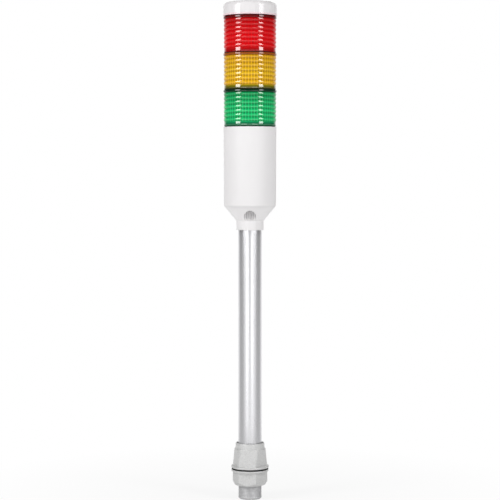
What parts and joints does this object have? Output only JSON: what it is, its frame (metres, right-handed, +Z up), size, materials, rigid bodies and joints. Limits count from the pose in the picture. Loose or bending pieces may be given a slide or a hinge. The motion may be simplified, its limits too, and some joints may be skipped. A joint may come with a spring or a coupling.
{
  "type": "stack light",
  "caption": "Tiered signal tower light with stacked red, amber and green lenses, a housing with a sounder and a tubular pole on a threaded panel foot.",
  "frame": {"origin": "on the pole's axis, in the plane where the foot's gasket seats on a panel; the threaded stub hangs below it", "axes": "+Z up the pole to the cap, -Y to the front with the sound port, +X to the right seen from the front"},
  "size_m": [0.058, 0.058, 0.532],
  "materials": {
    "housing_plastic": "moulded, light gloss",
    "lens_red": "clear moulded, ringed",
    "lens_amber": "clear moulded, ringed",
    "lens_green": "clear moulded, ringed",
    "pole_metal": "drawn, satin",
    "cast_metal": "sand cast, fine speckle",
    "screw_steel": "machined",
    "rubber": "moulded, matt",
    "carrier_plastic": "moulded, matt",
    "circuit_board": "solder mask",
    "diode": "moulded",
    "contact_brass": "stamped",
    "black_plastic": "moulded",
    "terminal_plastic": "moulded"
  },
  "bodies": {
    "root": {"pole_base": "cast_metal", "base_gasket": "rubber", "pole": "pole_metal", "set_screws": "screw_steel", "main_housing": "housing_plastic", "tier_socket": "housing_plastic", "socket_pads": "contact_brass", "control_board": "circuit_board", "buzzer": "black_plastic", "terminal_block": "terminal_plastic", "seal_green": "rubber"},
    "washer": {"clamp_washer": "cast_metal"},
    "nut": {"lock_nut": "cast_metal"},
    "tier_green": {"lens_green": "lens_green", "led_carrier_green": "carrier_plastic", "led_boards_green": "circuit_board", "leds_green": "diode", "contact_pins_green": "contact_brass", "contact_pads_green": "contact_brass", "seal_amber": "rubber"},
    "tier_amber": {"lens_amber": "lens_amber", "led_carrier_amber": "carrier_plastic", "led_boards_amber": "circuit_board", "leds_amber": "diode", "contact_pins_amber": "contact_brass", "contact_pads_amber": "contact_brass", "seal_red": "rubber"},
    "tier_red": {"lens_red": "lens_red", "led_carrier_red": "carrier_plastic", "led_boards_red": "circuit_board", "leds_red": "diode", "contact_pins_red": "contact_brass", "contact_pads_red": "contact_brass", "seal_cap": "rubber"},
    "cap": {"head_cap": "housing_plastic"}
  },
  "joints": [
    {"name": "washer_travel", "type": "slide", "parent": "root", "child": "washer", "axis": [0, 0, -1], "range_m": [0, 0.006]},
    {"name": "nut_turn", "type": "hinge", "parent": "washer", "child": "nut", "pos_m": [0, 0, -0.00935], "axis": [0, 0, -1], "range_deg": [0, 1440]},
    {"name": "tier_green_turn", "type": "hinge", "parent": "root", "child": "tier_green", "pos_m": [0, 0, 0.3686], "axis": [0, 0, 1], "range_deg": [0, 20]},
    {"name": "tier_amber_turn", "type": "hinge", "parent": "tier_green", "child": "tier_amber", "pos_m": [0, 0, 0.4076], "axis": [0, 0, 1], "range_deg": [0, 20]},
    {"name": "tier_red_turn", "type": "hinge", "parent": "tier_amber", "child": "tier_red", "pos_m": [0, 0, 0.4466], "axis": [0, 0, 1], "range_deg": [0, 20]},
    {"name": "cap_turn", "type": "hinge", "parent": "tier_red", "child": "cap", "pos_m": [0, 0, 0.4856], "axis": [0, 0, 1], "range_deg": [0, 20]}
  ],
  "couplings": [
    {"joint": "washer_travel", "follows": "nut_turn", "m_per_rad": 0.00023873}
  ]
}
